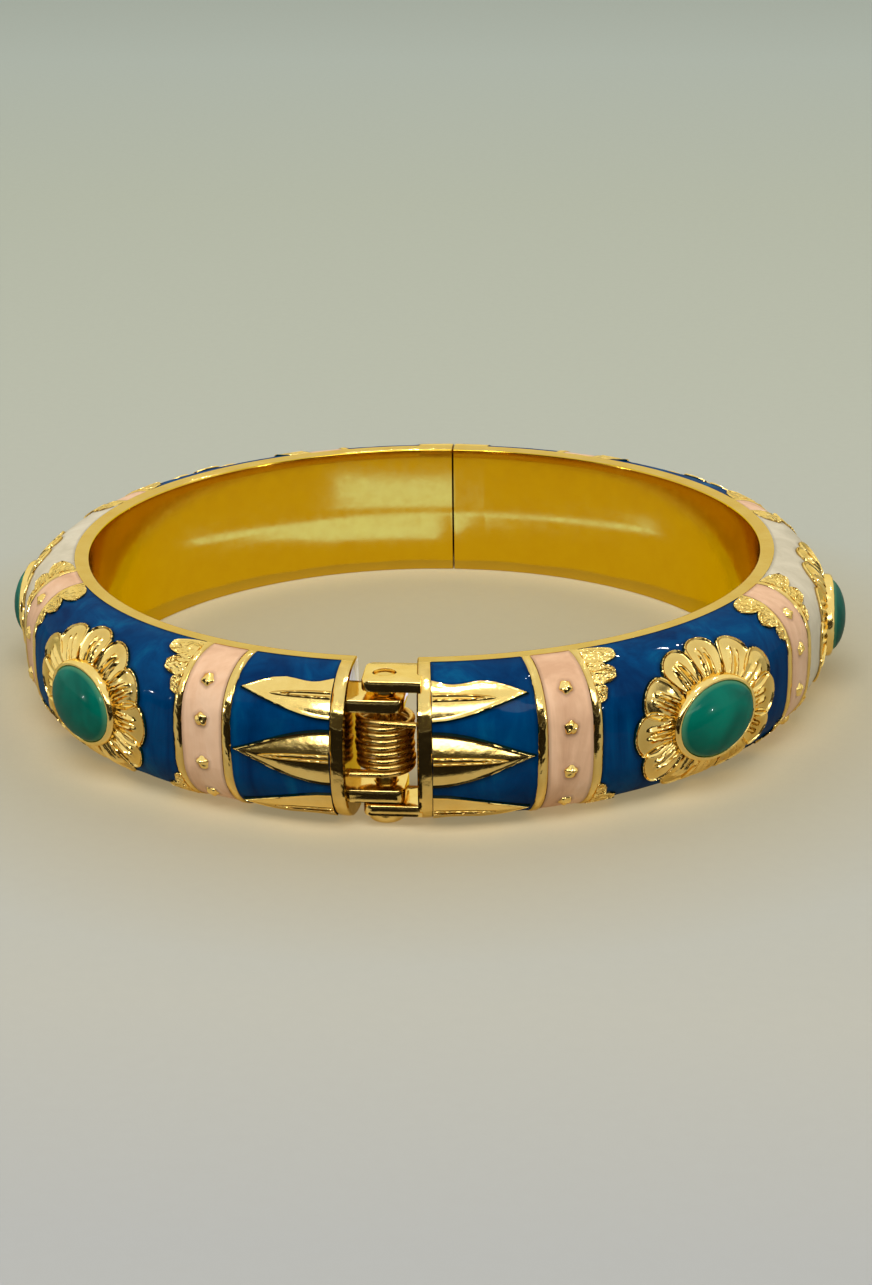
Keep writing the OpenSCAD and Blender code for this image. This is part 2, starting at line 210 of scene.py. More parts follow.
class Form:
    """A mesh put together from grids of points, with values for its material at each point.

    relief is the height above the band's surface, edge the distance from a piece's edge, and
    crown a height in mm that only the material's bump gets.
    """

    def __init__(self):
        self.points = []
        self.values = {"relief": [], "edge": [], "crown": []}
        self.faces = []
        self.slots = []
        self.count = 0

    def add(self, points, relief=0.0, edge=no_edge, crown=0.0):
        flat = points.reshape(-1, 3)
        start = self.count
        self.points.append(flat)
        for label, given in (("relief", relief), ("edge", edge), ("crown", crown)):
            self.values[label].append(np.broadcast_to(given, points.shape[:-1]).reshape(-1))
        self.count += len(flat)
        return start + np.arange(len(flat)).reshape(points.shape[:-1])

    def face(self, corners, slot=0):
        self.faces.append(tuple(int(c) for c in corners))
        self.slots.append(slot)

    def quads(self, index, close_rows=False, close_columns=False, slot=0, keep=None):
        """Faces between the rows and columns of a grid; keep drops some of them."""
        down = np.roll(index, -1, 0) if close_rows else index[1:]
        here = index if close_rows else index[:-1]
        if close_columns:
            a, b, c, d = here, np.roll(here, -1, 1), np.roll(down, -1, 1), down
        else:
            a, b, c, d = here[:, :-1], here[:, 1:], down[:, 1:], down[:, :-1]
        made = np.stack([a, b, c, d], -1)
        made = made[keep] if keep is not None else made.reshape(-1, 4)
        self.faces.extend(map(tuple, made.tolist()))
        self.slots.extend([slot] * len(made))

    def tube(self, points, relief):
        """A tube with a face at both ends, one ring of points a row."""
        index = self.add(points, relief)
        self.quads(index, close_columns=True)
        self.face(index[0][::-1])
        self.face(index[-1])

    def ring(self, index):
        """Indices round the edge of a grid."""
        return np.concatenate([index[0], index[1:, -1], index[-1, -2::-1], index[-2:0:-1, 0]])

    def raised(self, side, angle, s, h, slot=0, crown=0.0):
        """A closed form on the band: a grid for its top, and its edge carried down to its root.

        Gives its outline as angles and s.
        """
        index = self.add(on_band(side, angle, s, h), h, crown=crown)
        self.quads(index, slot=slot)
        local = self.ring(np.arange(index.size).reshape(index.shape))
        edge_crown = np.broadcast_to(crown, index.shape).reshape(-1)[local]
        foot = on_band(side, angle, s, root_h).reshape(-1, 3)[local]
        low = self.add(foot, -bed_depth, crown=edge_crown)
        self.quads(np.stack([self.ring(index), low]), close_columns=True, slot=slot)
        self.face(low[::-1], slot)
        return np.stack([angle.reshape(-1)[local], s.reshape(-1)[local]], -1)

    def build(self, name, body, slot, materials, sharp=35.0):
        mesh = bpy.data.meshes.new(name)
        mesh.from_pydata((np.concatenate(self.points) * MM).tolist(), [], self.faces)
        for label, values in self.values.items():
            layer = mesh.attributes.new(label, "FLOAT", "POINT")
            layer.data.foreach_set("value", np.concatenate(values).astype(np.float32))
        for material in materials:
            mesh.materials.append(material)
        mesh.polygons.foreach_set("material_index", self.slots)
        work = bmesh.new()
        work.from_mesh(mesh)
        bmesh.ops.recalc_face_normals(work, faces=work.faces)
        work.to_mesh(mesh)
        work.free()
        mesh.shade_smooth()
        mesh.set_sharp_from_angle(angle=math.radians(sharp))
        obj = bpy.data.objects.new(name, mesh)
        bpy.context.scene.collection.objects.link(obj)
        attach(obj, body)
        return obj


# The cast band

# A gold line, rounded like a wire: share of its half width, height
LINE_PROFILE = [
    (-1.07, -bed_depth), (-1, -0.14), (-0.92, -0.04), (-0.7, 0.02), (-0.35, 0.05), (0, line_h),
]
# A bed's edge by the rim: distance past it, share of the bed's depth filled
RIM_EDGE = [(-0.06, 0), (-0.05, 0.25), (-0.01, 0.85), (0.03, 1)]
end_bevel = 0.12
collar_ease = 0.3
collar_foot = 0.08
collar_drop = 0.1
bed_wall_w = 0.04
field_step_a = 1.5
rough_h = 0.02
last_row, lip_row = 0.3, 0.12


def line_stations(from_a, to_a):
    middle, half = (from_a + to_a) / 2, (to_a - from_a) / 2
    falling = reversed(LINE_PROFILE[:-1])
    return [(middle + half * t, h) for t, h in LINE_PROFILE] + [
        (middle - half * t, h) for t, h in falling
    ]


def band_stations():
    """Angles along one half, each with the height of its metal between the two rims."""
    made = [
        (end_a, -end_bevel), (end_a + arc(end_bevel), eased_h),
        (end_a + arc(3 * end_bevel), collar_h), (leaf_a0 - arc(collar_ease), collar_h),
        (leaf_a0 - arc(collar_foot), eased_h), (leaf_a0, -collar_drop),
    ]
    collar_edge = [(180 - a, h) for a, h in made[:2:-1]]
    made.append((leaf_a0 + arc(bed_wall_w), -bed_depth))
    for number, (_, from_a, to_a) in enumerate(fields):
        steps = max(2, round((to_a - from_a) / field_step_a))
        made += [(a, -bed_depth) for a in np.linspace(from_a, to_a, steps + 1)[1:-1]]
        if number < len(fields) - 1:
            made += line_stations(to_a, fields[number + 1][1])
    made.append((180 - leaf_a0 - arc(bed_wall_w), -bed_depth))
    made += collar_edge
    made += [
        (seam_a - arc(3 * end_bevel), collar_h), (seam_a - arc(end_bevel / 2), eased_h),
        (seam_a, -end_bevel),
    ]
    return made


def outside_of(side, angles, heights, at_end):
    """Points of the band's outside with its beds, and their heights above the surface."""
    past, filled = np.array(RIM_EDGE).T
    body_s = np.linspace(0, bed_s - last_row, 27)
    up = np.concatenate([body_s, [bed_s - lip_row], bed_s + past[1:], [section_s]])
    s = np.concatenate([-up[:0:-1], up])
    open_bed = 1 - np.interp(np.abs(s), bed_s + past, filled)
    rough = np.where(heights > 0, rough_h, 0)[:, None]
    rough = rough * wander(s[None, :] + 40 * angles[:, None], seed=3, step=0.45)
    raised = (heights[:, None] + rough) * open_bed
    raised = np.where(at_end[:, None], -end_bevel, raised)
    return on_band(side, angles[:, None], s[None, :], raised), raised


def inside_of(side, angles, at_end):
    """Points of the inner wall with its rounded edges, and a faint ridge along its middle."""
    edge_r = 0.22
    wall_bulge = 0.1
    ridge_h, ridge_w = 0.03, 0.12
    end_out, end_share = 0.1, 0.985
    turn = np.radians(np.linspace(90, 180, 5))
    corner_x = inner_r + wall_bulge + edge_r + edge_r * np.cos(turn)
    corner = np.stack([corner_x, half_h - edge_r + edge_r * np.sin(turn)], -1)
    z = np.linspace(half_h - edge_r, 0, 9)[1:]
    wall_x = inner_r + wall_bulge * (z / half_h) ** 2 - ridge_h * bell(z, 0, ridge_w)
    half = np.concatenate([corner, np.stack([wall_x, z], -1)])
    profile = np.concatenate([half, half[-2::-1] * [1, -1]])
    x = profile[:, 0][None, :] + np.where(at_end, end_out, 0)[:, None]
    z = profile[:, 1][None, :] * np.where(at_end, end_share, 1)[:, None]
    return swept(side, angles[:, None], x, z)


def band_shell(form, side):
    """The closed skin of one half: outside with its beds, rims and inner wall."""
    angles, heights = np.array(band_stations()).T
    at_end = (angles == end_a) | (angles == seam_a)
    outside, raised = outside_of(side, angles, heights, at_end)
    inside = inside_of(side, angles, at_end)
    relief = np.concatenate([raised, np.zeros(inside.shape[:2])], 1)
    index = form.add(np.concatenate([outside, inside], 1), relief)
    wall_from = outside.shape[1] + 2
    form.quads(index[:, :wall_from + 1])
    form.quads(index[:, wall_from:-2], slot=2)
    form.quads(index[:, [-3, -2, -1, 0]])
    form.face(index[0][::-1])
    form.face(index[-1])


def blade(form, side, spot, run, bend, width, profile, rows, columns, slot=0, crown=None):
    """A raised form along a line on the band; gives its outline.

    The line runs from run[0] to run[1] along the crest from spot, an (angle, s), and its far
    end lies bend above. t is the share of it, q goes from -1 to 1 across the form.
    """
    q = np.linspace(-1, 1, columns)[None, :]
    t = rows[:, None]
    along, across = run[0] + t * (run[1] - run[0]), bend * t * t
    turn = np.arctan(np.gradient(across[:, 0], along[:, 0])[:, None])
    half = width(t, q)
    angle = along_band(spot[0], along - half * q * np.sin(turn))
    s = spot[1] + across + half * q * np.cos(turn)
    return form.raised(side, angle, s, profile(t, q), slot, crown(t, q) if crown else 0.0)


# Leaves, in lists from the lower to the upper one
leaf_step = 4.85
leaf_l = [7.75, 7.95, 7.65]
rib_l = [4.95, 5.65, 4.95]
rib_half = 0.37
# How far a leaf's surface falls to its lower and upper side
LEAF_FALL = [(0.12, 0.12), (0.08, 0.08), (0.05, 0.12)]
# Half widths of a leaf as (share of its length, half width): the middle leaf, and the
# sides of the two others that face the rim and the middle
LEAF_MIDDLE = [
    (0, 2.3), (0.1, 2.27), (0.22, 2.13), (0.36, 1.87), (0.5, 1.52), (0.64, 1.1),
    (0.78, 0.66), (0.9, 0.3), (1, 0.02),
]
LEAF_OUTER = [
    (0, 1.58), (0.06, 1.42), (0.14, 1.22), (0.22, 1.13), (0.3, 1.16), (0.42, 1.3), (0.52, 1.38),
    (0.66, 1.2), (0.8, 0.8), (0.92, 0.36), (1, 0.02),
]
LEAF_INNER = [(0, 1.9), (0.15, 1.82), (0.3, 1.6), (0.5, 1.2), (0.7, 0.74), (0.85, 0.38), (1, 0.02)]


def half_width(table, t):
    """Half width from a table of shares and half widths."""
    return np.interp(t, *zip(*table))


def leaf_blade(form, side, root_a, way, k):
    """The blade of leaf k, which is -1 below, 0 in the middle and 1 above; gives its outline."""
    length = leaf_l[k + 1]
    low_fall, high_fall = LEAF_FALL[k + 1]

    def width(t, q):
        if k == 0:
            return half_width(LEAF_MIDDLE, t) + 0 * q
        return np.where(q * k > 0, half_width(LEAF_OUTER, t), half_width(LEAF_INNER, t))

    def profile(t, q):
        gap = np.minimum((1 - np.abs(q)) * width(t, q), (1 - t) * length)
        flank = np.where(q > 0, high_fall, low_fall) * np.abs(q) ** 1.25 * (1 - 0.35 * t)
        return leaf_h - flank + edge_relief("leaf", gap)

    def crown(t, q):
        """The middle leaf turns its upper side well up and stays nearly level below."""
        wide, fold, level = 2.2, -1.14, 0.8
        v = wide * q
        upper = 0.082 * (np.minimum(v, level) - fold) ** 2 + 0.318 * np.maximum(v - level, 0)
        lower = 0.05 * (v - fold) ** 2
        return -np.where(v > fold, upper, lower) * width(t, q) / wide

    return blade(form, side, (root_a, leaf_step * k), (0, way * length), 0, width, profile,
                 rows=np.linspace(0, 1, 36), columns=27, crown=None if k else crown)


def leaf_rib(form, side, root_a, way, k):
    """The midrib of leaf k: a needle with a groove along it."""
    bump_share = 1.4 if k else 0.8
    start = 0.05

    def width(t, q):
        return rib_half * np.sqrt(np.clip(1 - t ** 3.6, 0.004, 1)) * (1 - 0.25 * t) + 0 * q

    def bars(t, q):
        wall = 0.14 * np.sqrt(np.clip(1 - q ** 2, 0, 1)) * (1 - 0.4 * t ** 5)
        return wall - 0.13 * bell(q, 0, 0.3) * np.clip((0.9 - t) / 0.3, 0, 1)

    def profile(t, q):
        return leaf_h - 0.04 + bars(t, q)

    def crown(t, q):
        return bump_share * bars(t, q) + 0.03 * wander(9 * t + 2 * q + root_a + k, 31, 0.5)

    run = (way * start, way * (start + rib_l[k + 1]))
    blade(form, side, (root_a, leaf_step * k), run, -0.2, width, profile,
          rows=np.linspace(0, 1, 26), columns=17, crown=crown)


# Lobes from the rim inwards: distance from the crest, length, half width
LOBES = [(7.6, 2.85, 1.27), (5.7, 1.98, 1.06), (4.15, 0.7, 0.9)]
lobe_root = 0.3


def lobe(form, side, line_a, way, up, row, seed):
    """One blunt lobe at the corner of a flower's field, with a border and a ridge."""
    s0, length, half = row

    def width(t, q):
        return np.maximum(half * (1 - t ** 2.6) ** 0.55, thin) + 0 * q

    def profile(t, q):
        gap = np.minimum((1 - np.abs(q)) * half, (1 - t) * length)
        bumps = 0.035 * wander(7 * t + 3 * q + seed, seed, 0.7) * wander(11 * q + seed, seed + 1, 0.9)
        ridge = 0.07 * bell(q, 0, 0.18) * (1 - t)
        return lobe_h + ridge + bumps + edge_relief("lobe", gap)

    def crown(t, q):
        across = wander(5 * q - 3 * t + seed, seed + 3, 0.6)
        return 0.16 * wander(6 * t + 2.3 * q + seed, seed + 2, 0.5) * across

    run = (-way * lobe_root, way * length)
    return blade(form, side, (line_a, up * s0), run, up * -0.2 * half, width, profile,
                 rows=np.sin(np.linspace(0, math.pi / 2, 19)), columns=19, slot=1, crown=crown)


def corner_lobes(form, side, number, line_a, way):
    """The lobes at the upper and lower corner of a flower's field, and their outlines."""
    made = []
    for up in (-1, 1):
        for place, row in enumerate(LOBES):
            seed = 100 * number + 10 * place + up + way + 5
            made.append(lobe(form, side, line_a, way, up, row, seed))
    return made


petals = 12
petal_neck = 1.0
petal_start = 0.15
flower_a = 7.9
flower_b = 6.85
# Petals at the flower's two ends and those between: half width, share of the length where
# they are widest, the ridges' distance from the middle, share of the length where those fade
END_PETAL = (2.08, 0.58, 0.42, 0.6)
SIDE_PETAL = (1.78, 0.66, 0.4, 0.64)


def petal_rows(widest):
    """Shares along a petal, denser towards its tip."""
    inner_rows = np.linspace(0, widest, 15)[:-1]
    outer_rows = widest + (1 - widest) * np.sin(np.linspace(0, math.pi / 2, 17))
    return np.concatenate([inner_rows, outer_rows])[:, None]


def petal_relief(t, lateral, gap, full, ridge_half, fade_from):
    """Height of a petal: a shallow cup with a raised border and two ridges from the bezel."""
    apart = ridge_half - 0.1 * t
    ridges = sum(np.exp(-(np.abs(lateral - way * apart) / 0.17) ** 3) for way in (-1, 1))
    fade = 1 / (1 + np.exp((t - fade_from) / 0.03))
    ridges = (0.18 * ridges - 0.05 * bell(lateral, 0, 0.16)) * fade
    cup = 0.05 * np.clip(lateral / full, -1, 1) ** 2 - 0.05 * bell(t, 0.72, 0.2)
    return petal_h + cup + ridges + edge_relief("petal", gap)


def petal(form, side, angle, k, source):
    """One petal of a flower; gives its outline."""
    turn = math.radians(360 / petals * k + source.uniform(-2.0, 2.0))
    full, widest, ridge_half, fade_from = SIDE_PETAL if k % (petals // 2) else END_PETAL
    ray = np.array([math.cos(turn), math.sin(turn)])
    start = ray * [stone_a + petal_start, stone_b + petal_start]
    run = source.uniform(0.97, 1.02) * ray * [flower_a, flower_b] - start
    length = float(np.hypot(*run))
    ahead = run / length
    full = full * source.uniform(0.96, 1.04)
    t = petal_rows(widest)
    q = np.linspace(-1, 1, 31)[None, :]
    past = np.clip((t - widest) / (1 - widest), 0, 1)
    grow = np.sin(np.clip(t / widest, 0, 1) * math.pi / 2)
    swelling = petal_neck + (full - petal_neck) * grow
    half = np.maximum(np.where(t < widest, swelling, full * np.sqrt(1 - past ** 2.6)), thin)
    lateral = half * q
    u = start[0] + ahead[0] * t * length - ahead[1] * lateral
    v = start[1] + ahead[1] * t * length + ahead[0] * lateral
    reach = np.sqrt(np.clip((lateral / full) ** 2 + past ** 2, 0, 1))
    gap = np.minimum((1 - np.abs(q)) * half, np.where(past > 0, (1 - reach) * full, no_edge))
    h = petal_relief(t, lateral, gap, full, ridge_half, fade_from)
    return form.raised(side, along_band(angle, u), v, h)


# The bezel's wall: offset from the stone, height above the crest
BEZEL = np.array([
    (0.47, -1.8), (0.46, 0.12), (0.43, 0.3), (0.34, 0.44), (0.22, bezel_h), (0.1, 0.49),
    (0.03, 0.42), (0.02, 0.2), (0.03, -seat_d), (0.2, -1.8),
])


def bezel(form, side, angle, seed):
    """The oval wall round a stone, with a slightly uneven top."""
    turn = full_turn(120)
    offset, height = BEZEL[:, :1], BEZEL[:, 1:]
    rise = height + 0.015 * wander(turn * 9 + seed, seed, 1.0) * (height > 0.2)
    u = (stone_a + offset) * np.cos(turn)
    v = (stone_b + offset) * np.sin(turn)
    index = form.add(on_plane(side, angle, u, v, rise + 0 * u), low_relief)
    form.quads(index, close_rows=True, close_columns=True)


def flower_disc(form, side, angle):
    """The ring that the petals grow from, with its foot in the band."""
    turn = full_turn(96)
    share = np.linspace(0.5, 0.79, 6)[:, None]
    u = flower_a * share * np.cos(turn)
    v = flower_b * share * np.sin(turn)
    h = disc_h - 0.25 * np.clip((share - 0.76) / 0.03, 0, 1) + 0 * u
    disc = form.add(on_band(side, along_band(angle, u), v, h), h)
    form.quads(disc, close_columns=True)
    foot = on_band(side, along_band(angle, u[[0, -1]]), v[[0, -1]], root_h)
    low = form.add(foot, -bed_depth)
    form.quads(np.stack([disc[-1], low[1], low[0], disc[0]]), close_columns=True)


def flower(form, side, angle, seed):
    """Twelve petals, the disc that they grow from and the bezel; gives the petals' outlines."""
    source = np.random.default_rng(seed)
    outlines = [petal(form, side, angle, k, source) for k in range(petals)]
    flower_disc(form, side, angle)
    bezel(form, side, angle, seed)
    return outlines


dot_places = [-5.0, -1.8, 1.8, 5.0]


def dot(form, side, angle, s):
    """A gold bead with a grainy edge that stands in a pink field; gives its outline."""
    radius, rise, sunk = 0.57, 0.36, 0.12
    turn = full_turn(32)
    climb = np.radians(np.array([-70, -25, 0, 20, 40, 60, 78, 88]))[:, None]
    girth = radius * (1 + 0.09 * np.cos(5 * turn + angle + 7 * s))
    u = girth * np.cos(climb) * np.cos(turn)
    v = girth * np.cos(climb) * np.sin(turn)
    bumps = 0.08 * np.cos(3 * turn + 4 * s) * np.sin(2 * np.clip(climb, 0, 2)) ** 2
    h = np.where(climb < -0.5, -0.5, rise * np.sin(climb) - sunk + bumps + 0 * u)
    form.tube(on_band(side, along_band(angle, u), s + v, h), low_relief)
    outline_a = along_band(angle, (girth * np.cos(turn))[0])
    return np.stack([outline_a, s + (girth * np.sin(turn))[0]], -1)


# Heights of the hinge's parts above the surface that the bangle lies on
outer_lug_t = 0.95
inner_lug_t = 1.1
upper_lug_gap = 0.6
lower_lug_gap = 0.15
lug_drop = 0.4
pin_play = 0.04
head_h = 0.9
pin_r = 0.85
lug_half_w = 2.1
lug_nose = 1.6
lug_corner_r = 0.7
lug_ease = 0.16
bore_ease = 0.08
upper_outer_z = 2 * half_h - lug_drop - outer_lug_t
upper_inner_z = upper_outer_z - upper_lug_gap - inner_lug_t
head_z = pin_play
lower_outer_z = head_z + head_h + pin_play
lower_inner_z = lower_outer_z + outer_lug_t + lower_lug_gap
lug_reach = (lug_half_w - pin_y) * math.tan(math.radians(end_a)) + 0.3
# Bottom and thickness of the lugs on the right half and on the left half
LUGS = {
    1: [(upper_outer_z, outer_lug_t), (lower_outer_z, outer_lug_t)],
    -1: [(upper_inner_z, inner_lug_t), (lower_inner_z, inner_lug_t)],
}


def lug_outline(inset):
    """Points round a lug, from its root round its blunt end, pulled in by an inset."""
    r = lug_corner_r - inset
    half = lug_half_w - inset
    middle = lug_corner_r - lug_nose
    turn = np.radians(np.linspace(90, 180, 12))
    corner = np.stack([middle + r * np.cos(turn), half - r + r * np.sin(turn)], -1)
    straight = np.stack([np.linspace(lug_reach, middle + 0.1, 10), np.full(10, half)], -1)
    nose = np.stack([np.full(8, inset - lug_nose), np.linspace(half - r - 0.1, 0, 8)], -1)
    root = np.stack([np.full(7, lug_reach), np.linspace(0, half, 8)[:-1]], -1)
    ring = np.concatenate([root, straight, corner, nose])
    return np.concatenate([ring, ring[-2:0:-1] * [1, -1]])


def lug(form, side, z, thick):
    """A hinge lug round the pin, with its edges eased."""
    part = 0.34 * lug_ease
    wide, eased, between = lug_outline(0), lug_outline(lug_ease), lug_outline(part)
    around = np.arctan2(wide[:, 1], wide[:, 0])
    bore = (pin_r + pin_play) * np.stack([np.cos(around), np.sin(around)], -1)
    mouth = bore * 1.09
    levels = [
        (mouth, 0), (eased, 0), (between, part), (wide, lug_ease), (wide, thick - lug_ease),
        (between, thick - part), (eased, thick), (mouth, thick), (bore, thick - bore_ease),
        (bore, bore_ease),
    ]
    points = np.stack([
        np.stack([side * flat[:, 0], pin_y + flat[:, 1], np.full(len(flat), z + height)], -1)
        for flat, height in levels
    ])
    index = form.add(points, low_relief)
    form.quads(index, close_rows=True, close_columns=True)


def field_relief(form, side, number, kind, from_a, to_a):
    """The gold that stands in one field; gives its outlines."""
    middle = (from_a + to_a) / 2
    if kind == "pink":
        return [dot(form, side, middle, s) for s in dot_places]
    if kind != "leaf":
        outlines = flower(form, side, middle, 20 + number + side)
        outlines += corner_lobes(form, side, number, from_a, 1)
        return outlines + corner_lobes(form, side, number, to_a, -1)
    way, root_a = (1, from_a) if number == 0 else (-1, to_a)
    root_a -= way * arc(0.02)
    outlines = []
    for k in (-1, 0, 1):
        outlines.append(leaf_blade(form, side, root_a, way, k))
        leaf_rib(form, side, root_a, way, k)
    return outlines


def cast_half(side):
    """All cast metal of one half, with the outlines of its relief for each field."""
    form = Form()
    band_shell(form, side)
    outlines = [field_relief(form, side, number, *field) for number, field in enumerate(fields)]
    for z, thick in LUGS[side]:
        lug(form, side, z, thick)
    return form, outlines


# Enamel

def edge_distance(points, outlines):
    """Distance of points to the nearest outline, negative for those within one."""
    nearest = np.full(len(points), no_edge)
    for loop in outlines:
        low, high = loop.min(0) - 1.2, loop.max(0) + 1.2
        near = np.nonzero(((points > low) & (points < high)).all(1))[0]
        if not len(near):
            continue
        p = points[near][:, None, :]
        a = loop[None, :, :]
        b = np.roll(loop, -1, 0)[None, :, :]
        run = b - a
        t = np.clip(((p - a) * run).sum(-1) / np.maximum((run ** 2).sum(-1), 1e-12), 0, 1)
        away = np.sqrt((((a + t[..., None] * run) - p) ** 2).sum(-1)).min(1)
        crosses = (a[..., 1] > p[..., 1]) != (b[..., 1] > p[..., 1])
        with np.errstate(divide="ignore", invalid="ignore"):
            where = a[..., 0] + (p[..., 1] - a[..., 1]) / (b[..., 1] - a[..., 1]) * run[..., 0]
        inside = (crosses & (p[..., 0] < where)).sum(1) % 2 == 1
        nearest[near] = np.minimum(nearest[near], np.where(inside, -away, away))
    return nearest


def open_edges(keep):
    """Edges round the kept cells of a grid, as pairs of (row, column)."""
    edges = {}
    for r, c in zip(*np.nonzero(keep)):
        corners = [(r, c), (r, c + 1), (r + 1, c + 1), (r + 1, c)]
        for here, there in zip(corners, corners[1:] + corners[:1]):
            if (there, here) in edges:
                del edges[(there, here)]
            else:
                edges[(here, there)] = True
    return list(edges)


def enamel(name, side, field, outlines, body, slot, material):
    """A sheet of enamel in one bed, drawn up a little where it meets the gold."""
    _, from_a, to_a = field
    step, reach, covered = 0.24, 0.03, 0.3
    unit = arc(1)
    columns = max(8, round((to_a - from_a) / unit / step))
    rows = round(2 * bed_s / step)
    angle = np.linspace(from_a - arc(reach), to_a + arc(reach), columns + 1)[None, :]
    s = np.linspace(-bed_s - reach, bed_s + reach, rows + 1)[:, None]
    u, v = np.broadcast_arrays(angle / unit, s)
    border = np.minimum.reduce([u - from_a / unit, to_a / unit - u, bed_s - np.abs(v)])
    loops = [loop / [unit, 1] for loop in outlines]
    to_gold = edge_distance(np.stack([u, v], -1).reshape(-1, 2), loops)
    gap = np.minimum(to_gold.reshape(u.shape), border)
    seed = int(from_a * 10) + side
    swell = 0.012 * wander(u * 1.1 + 3.1 * v + seed, seed, 1.7)
    h = enamel_h + 0.045 * np.exp(-np.maximum(gap, 0) / 0.16) + swell
    form = Form()
    top = form.add(on_band(side, angle, s, h), h, gap)
    bottom = form.add(on_band(side, angle, s, seat_play - bed_depth), -bed_depth, gap)
    widest = np.maximum.reduce([gap[:-1, :-1], gap[1:, :-1], gap[:-1, 1:], gap[1:, 1:]])
    keep = (widest >= -covered) | (border[:-1, :-1] <= covered)
    form.quads(top, keep=keep)
    form.quads(bottom[:, ::-1], keep=keep[:, ::-1])
    for a, b in open_edges(keep):
        form.face((top[b], top[a], bottom[a], bottom[b]))
    return form.build(name, body, slot, [material])


# Stones

def stone(name, side, angle, body, material):
    """An oval cabochon: a smooth dome on a straight girdle."""
    form = Form()
    turn = full_turn(96)
    reach = np.sin(np.linspace(math.pi / 2, 0.02, 26))[:, None]
    u = stone_a * reach * np.cos(turn)
    v = stone_b * reach * np.sin(turn)
    n = stone_h * np.sqrt(1 - (reach / dome_spread) ** 2) + 0 * u
    foot = on_plane(side, angle, u[:1], v[:1], seat_play - seat_d)
    dome = on_plane(side, angle, u, v, n)
    form.tube(np.concatenate([foot, dome]), np.concatenate([reach[:1], reach]))
    return form.build(name, body, "green_stone", [material], sharp=50)


# Hinge pin and spring

pin_sink = 0.25
# The pin's and wire's relief, through which the gold's painted recess shade darkens them a little
shaded_relief = 0.05
# Radius and height of the pin's head over its bottom, and of its dished end over its top
PIN_HEAD = [
    (0.4, 0), (1.0, 0.02), (1.22, 0.07), (1.34, 0.18), (1.39, 0.34), (1.4, 0.5), (1.4, 0.84),
    (1.34, head_h), (pin_r, head_h),
]
PIN_TOP = [
    (pin_r, -0.1), (pin_r - 0.04, -0.03), (pin_r - 0.12, 0), (0.55, -0.02), (0.3, -0.06),
    (0.1, -0.07),
]


def pin(material):
    """The pin with its domed head below, turned about the hinge's axis."""
    top = upper_outer_z + outer_lug_t - pin_sink
    profile = [(r, head_z + h) for r, h in PIN_HEAD] + [(r, top + h) for r, h in PIN_TOP]
    r, z = [np.array(values)[:, None] for values in zip(*profile)]
    turn = full_turn(64)
    form = Form()
    form.tube(np.stack([r * np.cos(turn), pin_y + r * np.sin(turn), z + 0 * turn], -1), shaded_relief)
    piece = form.build("pin", "left", "gold", [material])
    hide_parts("hinge_pin")


wire_r = 0.25
coil_r = 2.05
coil_low_gap = 1.05
coil_high_gap = 0.5
coil_z0 = lower_inner_z + inner_lug_t + coil_low_gap + wire_r
coil_z1 = upper_inner_z - coil_high_gap - wire_r
turns = 8
turn_steps = 44
leg_x = (coil_r - wire_r - pin_y) * math.tan(math.radians(end_a)) - pin_play


def wire(form, path, sides=14):
    """A round wire along a path of points."""
    path = np.array(path)
    ahead = np.gradient(path, axis=0)
    ahead /= np.linalg.norm(ahead, axis=1)[:, None]
    out = np.cross(ahead, np.array([0.0, 0.0, 1.0]))
    out /= np.linalg.norm(out, axis=1)[:, None]
    over = np.cross(out, ahead)
    turn = full_turn(sides)[..., None]
    ring = out[:, None, :] * np.cos(turn) + over[:, None, :] * np.sin(turn)
    form.tube(path[:, None, :] + wire_r * ring, shaded_relief)


def coil_path():
    """The lower leg from the left half and the slightly uneven coil, as one path."""
    k = np.arange(turns * turn_steps + 1)
    angle = 2 * math.pi * k / turn_steps - math.pi / 2
    share = k / (turns * turn_steps)
    loose = np.sin(math.pi * share)
    r = coil_r + 0.05 * loose * wander(k, 11, 31)
    sway = 0.09 * loose * wander(k, 12, 57)
    z = coil_z0 + share * (coil_z1 - coil_z0) + 0.045 * loose * wander(k, 13, 23)
    coil = np.stack([r * np.cos(angle) + sway, pin_y + r * np.sin(angle), z], -1)
    leg = np.linspace(-leg_x, -0.35, 6)
    lower = np.stack([leg, pin_y - coil_r + 0 * leg, coil_z0 + 0 * leg], -1)
    return np.concatenate([lower, coil])


def spring(material):
    """The coil with its lower leg on the left half, and the upper leg on the right half."""
    form = Form()
    wire(form, coil_path())
    piece = form.build("spring_coil", "left", "spring_wire", [material])
    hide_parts("hinge_spring")
    form = Form()
    leg = np.linspace(-0.1, leg_x, 8)
    rise = coil_z1 - 0.12 * (leg / leg_x)
    wire(form, np.stack([leg, pin_y - coil_r - 0.02 + 0 * leg, rise], -1))
    form.build("spring_leg", "right", "spring_wire", [material])


# Materials

